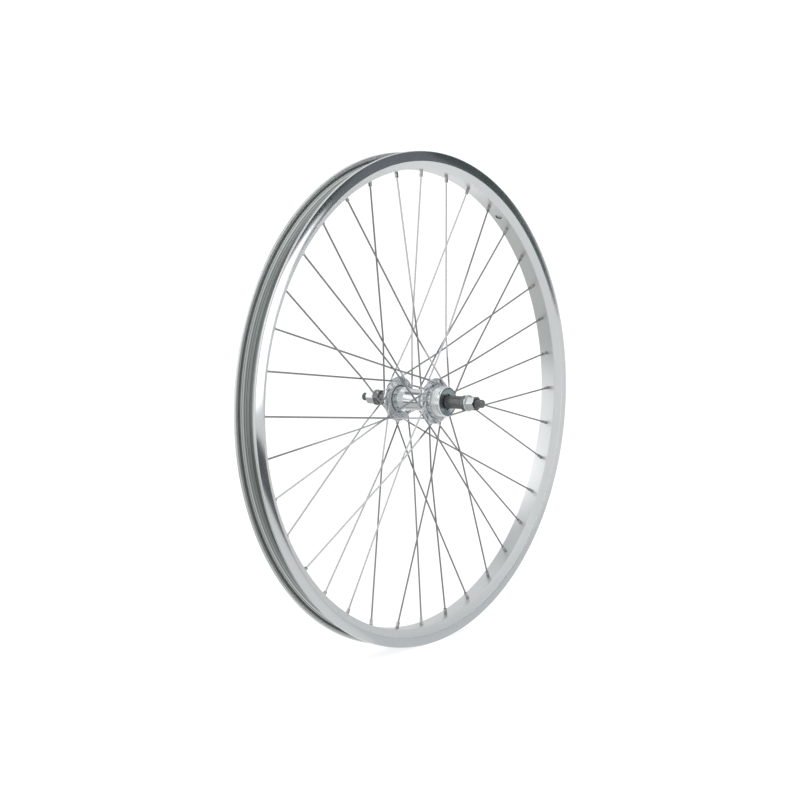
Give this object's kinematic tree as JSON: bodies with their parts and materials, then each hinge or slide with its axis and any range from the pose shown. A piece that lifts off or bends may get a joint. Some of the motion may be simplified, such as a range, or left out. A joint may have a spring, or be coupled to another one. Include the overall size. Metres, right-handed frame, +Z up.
{
  "type": "bicycle rear wheel",
  "caption": "Rear bicycle wheel with a single-wall rim, cross-laced wire spokes, a screw-on freewheel hub on ball bearings and a solid nutted axle.",
  "frame": {"origin": "wheel centre, on the axle's axis midway between the outer faces of the locknuts", "axes": "+Y along the axle to the left side, -Y to the drive side, +Z up, +X the way the bicycle rolls"},
  "size_m": [0.572, 0.178, 0.572],
  "materials": {
    "rim_alloy": "machined brake tracks, bright satin elsewhere",
    "hub_alloy": "polished",
    "spoke_steel": "drawn stainless",
    "nipple_plate": "nickel plate on brass",
    "black_steel": "oiled black oxide",
    "zinc_steel": "bright zinc plate",
    "cap_steel": "bright zinc plate, pressed",
    "bearing_steel": "ground",
    "retainer_steel": "pressed"
  },
  "bodies": {
    "axle": {"axle": "black_steel", "drive_cone": "black_steel", "drive_axle_spacer": "black_steel", "drive_lock_washer": "black_steel", "drive_locknut": "black_steel", "drive_nut_washer": "zinc_steel", "drive_track_nut": "zinc_steel", "left_cone": "black_steel", "left_axle_spacer": "black_steel", "left_lock_washer": "black_steel", "left_locknut": "black_steel", "left_nut_washer": "zinc_steel", "left_track_nut": "zinc_steel"},
    "wheel": {"rim": "rim_alloy", "hub_shell": "hub_alloy", "drive_trailing_spokes": "spoke_steel", "drive_trailing_nipples": "nipple_plate", "left_trailing_spokes": "spoke_steel", "left_trailing_nipples": "nipple_plate", "drive_leading_spokes": "spoke_steel", "drive_leading_nipples": "nipple_plate", "left_leading_spokes": "spoke_steel", "left_leading_nipples": "nipple_plate", "drive_bearing_cup": "bearing_steel", "drive_dust_cap": "cap_steel", "left_bearing_cup": "bearing_steel", "left_dust_cap": "cap_steel"},
    "drive_ball_set": {"drive_bearing_balls": "bearing_steel", "drive_ball_retainer": "retainer_steel"},
    "left_ball_set": {"left_bearing_balls": "bearing_steel", "left_ball_retainer": "retainer_steel"}
  },
  "joints": [
    {"name": "wheel_spin", "type": "hinge", "parent": "axle", "child": "wheel", "pos_m": [0, 0, 0], "axis": [0, 1, 0], "continuous": true},
    {"name": "drive_balls_roll", "type": "hinge", "parent": "axle", "child": "drive_ball_set", "pos_m": [0, -0.0306, 0], "axis": [0, 1, 0], "continuous": true},
    {"name": "left_balls_roll", "type": "hinge", "parent": "axle", "child": "left_ball_set", "pos_m": [0, 0.0368, 0], "axis": [0, 1, 0], "continuous": true}
  ],
  "couplings": [
    {"joint": "drive_balls_roll", "follows": "wheel_spin", "ratio": 0.6134},
    {"joint": "left_balls_roll", "follows": "wheel_spin", "ratio": 0.6134}
  ]
}
